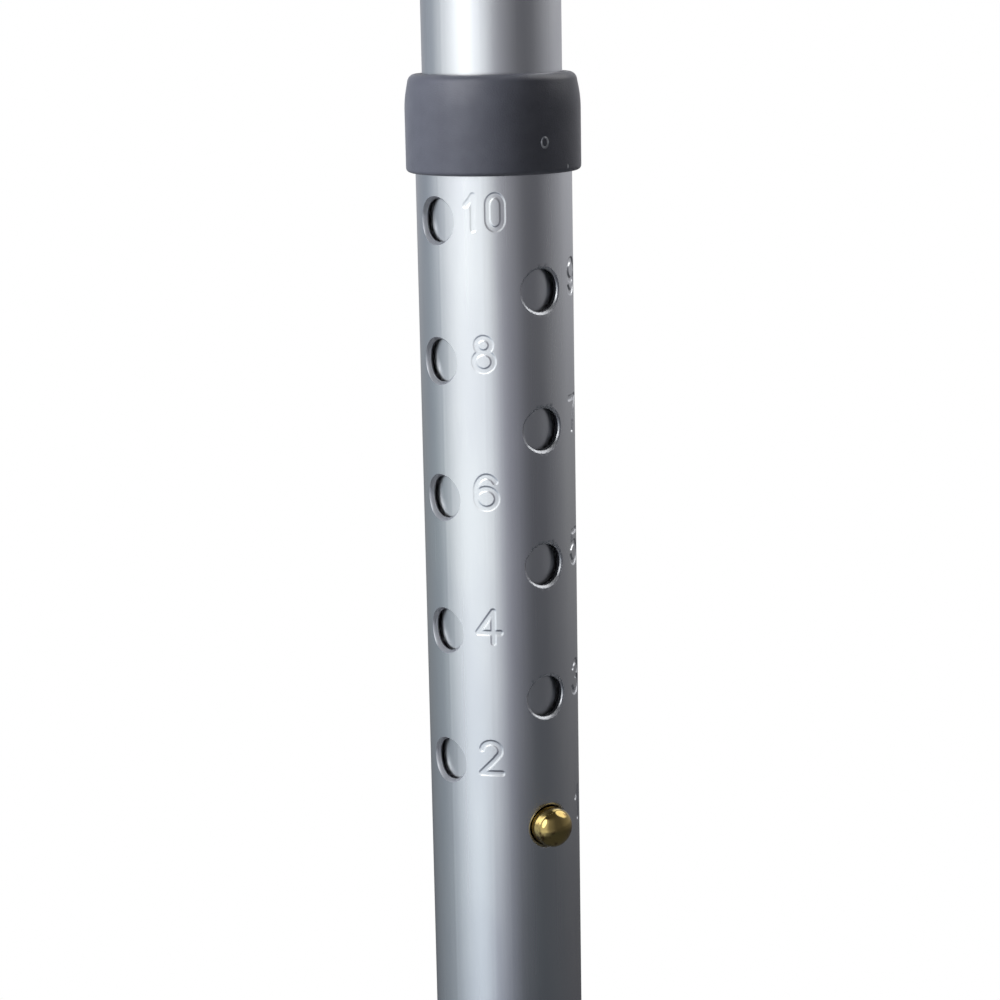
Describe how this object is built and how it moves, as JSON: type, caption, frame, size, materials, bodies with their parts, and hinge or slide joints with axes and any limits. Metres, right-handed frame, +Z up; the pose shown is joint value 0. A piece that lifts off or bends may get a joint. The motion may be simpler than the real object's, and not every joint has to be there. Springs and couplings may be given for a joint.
{
  "type": "underarm crutch",
  "caption": "Aluminium underarm crutch with a push-button telescoping leg, a height-adjustable handgrip, a padded underarm saddle and a rubber ferrule.",
  "frame": {"origin": "centre of the ferrule's foot, where the crutch meets the ground", "axes": "+Z up the leg, +X across the frame towards the wing nut, -Y towards the side from which the button is pressed"},
  "size_m": [0.217, 0.05, 1.1566],
  "materials": {
    "anodised_aluminium": "satin silver anodised drawn tube",
    "dark_grey_plastic": "moulded, fine spark-eroded texture",
    "grey_rubber": "moulded, dull",
    "grey_foam": "closed-cell foam with a fine skin",
    "white_nylon": "moulded, natural",
    "polished_brass": "polished",
    "zinc_plated_steel": "bright zinc plate",
    "spring_steel": "blued strip"
  },
  "bodies": {
    "frame": {"side_tube_left": "anodised_aluminium", "side_tube_right": "anodised_aluminium", "side_tube_plug_left": "dark_grey_plastic", "side_tube_plug_right": "dark_grey_plastic", "centre_tube": "anodised_aluminium", "centre_tube_cap": "dark_grey_plastic", "spacer_lower_left": "dark_grey_plastic", "spacer_lower_right": "dark_grey_plastic", "spacer_upper_left": "dark_grey_plastic", "spacer_upper_right": "dark_grey_plastic", "frame_bolt_lower": "zinc_plated_steel", "frame_bolt_upper": "zinc_plated_steel", "frame_nut_lower": "zinc_plated_steel", "frame_nut_upper": "zinc_plated_steel", "underarm_saddle": "dark_grey_plastic", "underarm_cushion": "grey_foam", "saddle_screw_left": "zinc_plated_steel", "saddle_screw_right": "zinc_plated_steel", "button_spring": "spring_steel"},
    "button": {"snap_button": "polished_brass"},
    "glide": {"glide_ring": "white_nylon"},
    "leg": {"leg_tube": "anodised_aluminium", "leg_collar": "dark_grey_plastic", "ferrule": "grey_rubber", "ferrule_washer": "zinc_plated_steel"},
    "grip": {"grip_core": "dark_grey_plastic", "grip_sleeve": "grey_foam", "grip_bolt": "zinc_plated_steel", "grip_washer_left": "dark_grey_plastic", "grip_washer_right": "dark_grey_plastic"},
    "wing_nut": {"wing_nut": "zinc_plated_steel"}
  },
  "joints": [
    {"name": "leg_turn", "type": "hinge", "parent": "frame", "child": "glide", "pos_m": [0, 0, 0.2637], "axis": [0, 0, 1], "range_deg": [0, 83.5]},
    {"name": "leg_extension", "type": "slide", "parent": "glide", "child": "leg", "axis": [0, 0, -1], "range_m": [0, 0.1143], "deforming": ["snap_button"]},
    {"name": "button_press", "type": "slide", "parent": "frame", "child": "button", "axis": [0, 1, 0], "range_m": [0, 0.0056], "stiffness_N_per_m": 1500, "springref_m": -0.002, "deforming": ["button_spring"]},
    {"name": "grip_height", "type": "slide", "parent": "frame", "child": "grip", "axis": [0, 0, 1], "range_m": [-0.0508, 0.1016]},
    {"name": "wing_nut_spin", "type": "hinge", "parent": "grip", "child": "wing_nut", "pos_m": [0.08, 0, 0.8005], "axis": [1, 0, 0], "continuous": true}
  ]
}
